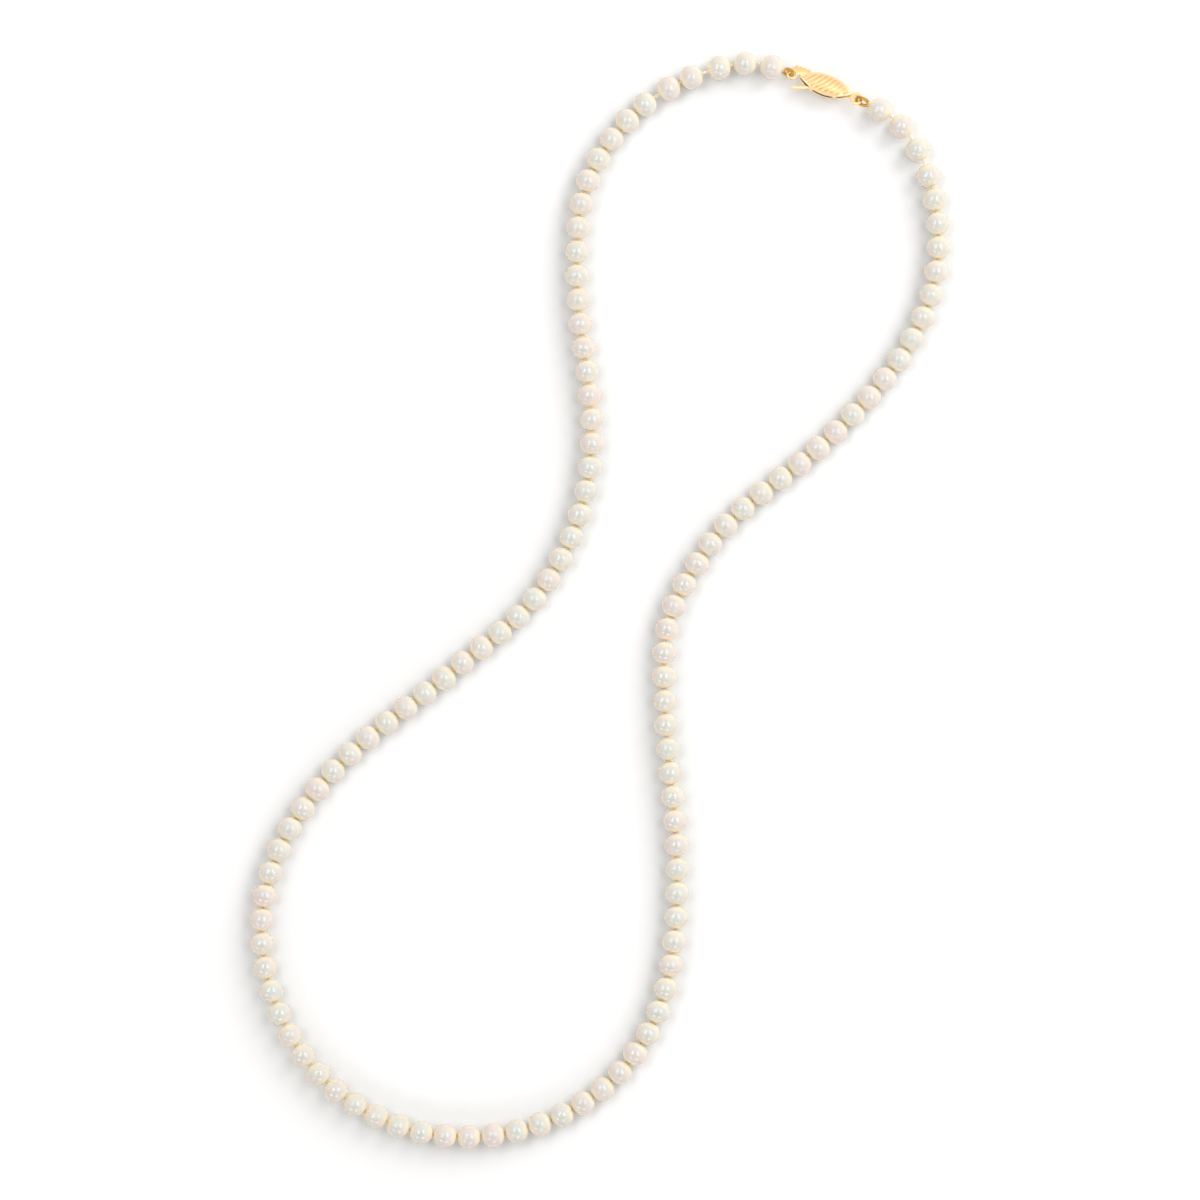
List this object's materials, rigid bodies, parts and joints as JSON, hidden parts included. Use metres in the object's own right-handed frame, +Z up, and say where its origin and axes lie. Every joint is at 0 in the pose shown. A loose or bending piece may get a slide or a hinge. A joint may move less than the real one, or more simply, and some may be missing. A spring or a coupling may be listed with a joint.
{
  "type": "pearl necklace",
  "caption": "Single strand of round cream pearls on knotted silk, closed in a loop by a fluted marquise fish-hook clasp with coiled wire gimps.",
  "frame": {"origin": "centre of the loop's outline, on the surface it lies on", "axes": "+X right and +Y towards the clasp in plan, +Z up from the surface"},
  "size_m": [0.1514, 0.237, 0.0054],
  "materials": {
    "pearl": "gloss",
    "silk": "matte",
    "gold": "polished",
    "gimp_wire": "satin"
  },
  "bodies": {
    "bottom_bow": {"pearls_bottom_bow": "pearl", "thread_bottom_bow": "silk"},
    "lower_rung_1": {"pearls_left_lower_1": "pearl", "thread_left_lower_1": "silk", "pearls_right_lower_1": "pearl", "thread_right_lower_1": "silk"},
    "lower_rung_2": {"pearls_left_lower_2": "pearl", "thread_left_lower_2": "silk", "pearls_right_lower_2": "pearl", "thread_right_lower_2": "silk"},
    "lower_rung_3": {"pearls_left_lower_3": "pearl", "thread_left_lower_3": "silk", "pearls_right_lower_3": "pearl", "thread_right_lower_3": "silk"},
    "lower_rung_4": {"pearls_left_lower_4": "pearl", "thread_left_lower_4": "silk", "pearls_right_lower_4": "pearl", "thread_right_lower_4": "silk"},
    "waist_link_left": {"pearls_left_waist": "pearl", "thread_left_waist": "silk"},
    "waist_link_right": {"pearls_right_waist": "pearl", "thread_right_waist": "silk"},
    "middle_rung": {"pearls_left_middle": "pearl", "thread_left_middle": "silk", "pearls_right_middle": "pearl", "thread_right_middle": "silk"},
    "upper_rung": {"pearls_left_upper": "pearl", "thread_left_upper": "silk", "pearls_right_upper": "pearl", "thread_right_upper": "silk"},
    "clasp_rung": {"pearls_left_top": "pearl", "thread_left_top": "silk", "pearls_right_top": "pearl", "thread_right_top": "silk", "gimp_right": "gimp_wire", "thread_loop_right": "silk"},
    "clasp_case": {"case_top": "gold", "case_back": "gold", "catch_post": "gold", "case_ring": "gold"},
    "clasp_hook": {"hook_plate": "gold"},
    "hook_spring": {"release_tab": "gold"},
    "left_end_link": {"pearls_left_end": "pearl", "thread_left_end": "silk", "gimp_left": "gimp_wire", "thread_loop_left": "silk"},
    "left_knee_link": {"pearls_left_knee": "pearl", "thread_left_knee": "silk"}
  },
  "joints": [
    {"name": "fold_lower_1", "type": "hinge", "parent": "bottom_bow", "child": "lower_rung_1", "pos_m": [-0.06264, -0.10034, 0.0027], "axis": [1, 0.0048, 0], "range_deg": [0, 22]},
    {"name": "fold_lower_2", "type": "hinge", "parent": "lower_rung_1", "child": "lower_rung_2", "pos_m": [-0.0718, -0.08183, 0.0027], "axis": [1, 0.0057, 0], "range_deg": [0, 22]},
    {"name": "fold_lower_3", "type": "hinge", "parent": "lower_rung_2", "child": "lower_rung_3", "pos_m": [-0.07038, -0.05628, 0.0027], "axis": [1, 0.0098, 0], "range_deg": [0, 22]},
    {"name": "fold_lower_4", "type": "hinge", "parent": "lower_rung_3", "child": "lower_rung_4", "pos_m": [-0.05586, -0.03489, 0.0027], "axis": [1, 0.0031, 0], "range_deg": [0, 22]},
    {"name": "waist_sway", "type": "hinge", "parent": "lower_rung_4", "child": "waist_link_left", "pos_m": [-0.04399, -0.02476, 0.0027], "axis": [0, 0, 1], "range_deg": [-12, 12]},
    {"name": "waist_sway_left_top", "type": "hinge", "parent": "waist_link_left", "child": "middle_rung", "pos_m": [-0.00963, 0.00668, 0.0027], "axis": [0, 0, 1], "range_deg": [-12, 12]},
    {"name": "waist_sway_right", "type": "hinge", "parent": "lower_rung_4", "child": "waist_link_right", "pos_m": [0.02539, 0.01433, 0.0027], "axis": [0, 0, 1], "range_deg": [-12, 12]},
    {"name": "fold_upper_1", "type": "hinge", "parent": "middle_rung", "child": "upper_rung", "pos_m": [-0.00169, 0.0365, 0.0027], "axis": [0.9675, 0.2527, 0], "range_deg": [0, 22]},
    {"name": "fold_upper_2", "type": "hinge", "parent": "upper_rung", "child": "clasp_rung", "pos_m": [-0.00494, 0.06755, 0.0027], "axis": [0.9999, 0.0123, 0], "range_deg": [0, 22]},
    {"name": "clasp_roll", "type": "hinge", "parent": "clasp_rung", "child": "clasp_case", "pos_m": [0.05535, 0.10838, 0.00241], "axis": [0.9318, -0.3629, 0.0076], "range_deg": [-8, 10]},
    {"name": "hook_slide", "type": "slide", "parent": "clasp_case", "child": "clasp_hook", "axis": [-0.9432, 0.3322, 0], "range_m": [0, 0.0053]},
    {"name": "release_tab_press", "type": "hinge", "parent": "clasp_hook", "child": "hook_spring", "pos_m": [0.05075, 0.10943, 0.00254], "axis": [-0.0747, -0.2122, -0.9744], "range_deg": [0, 6], "stiffness_Nm_per_rad": 0.02},
    {"name": "left_knee_swing", "type": "hinge", "parent": "clasp_rung", "child": "left_knee_link", "pos_m": [-0.00498, 0.07796, 0.0027], "axis": [0, 0, 1], "range_deg": [-0.3, 11.64]},
    {"name": "left_end_swing", "type": "hinge", "parent": "left_knee_link", "child": "left_end_link", "pos_m": [0.01216, 0.10907, 0.0027], "axis": [0, 0, 1], "range_deg": [-13.17, 0.3]}
  ],
  "couplings": [
    {"joint": "waist_sway_left_top", "follows": "waist_sway", "ratio": -1},
    {"joint": "waist_sway_right", "follows": "waist_sway", "ratio": 1},
    {"joint": "left_knee_swing", "follows": "hook_slide", "rad_per_m": 29.883},
    {"joint": "left_end_swing", "follows": "hook_slide", "rad_per_m": -33.897}
  ]
}
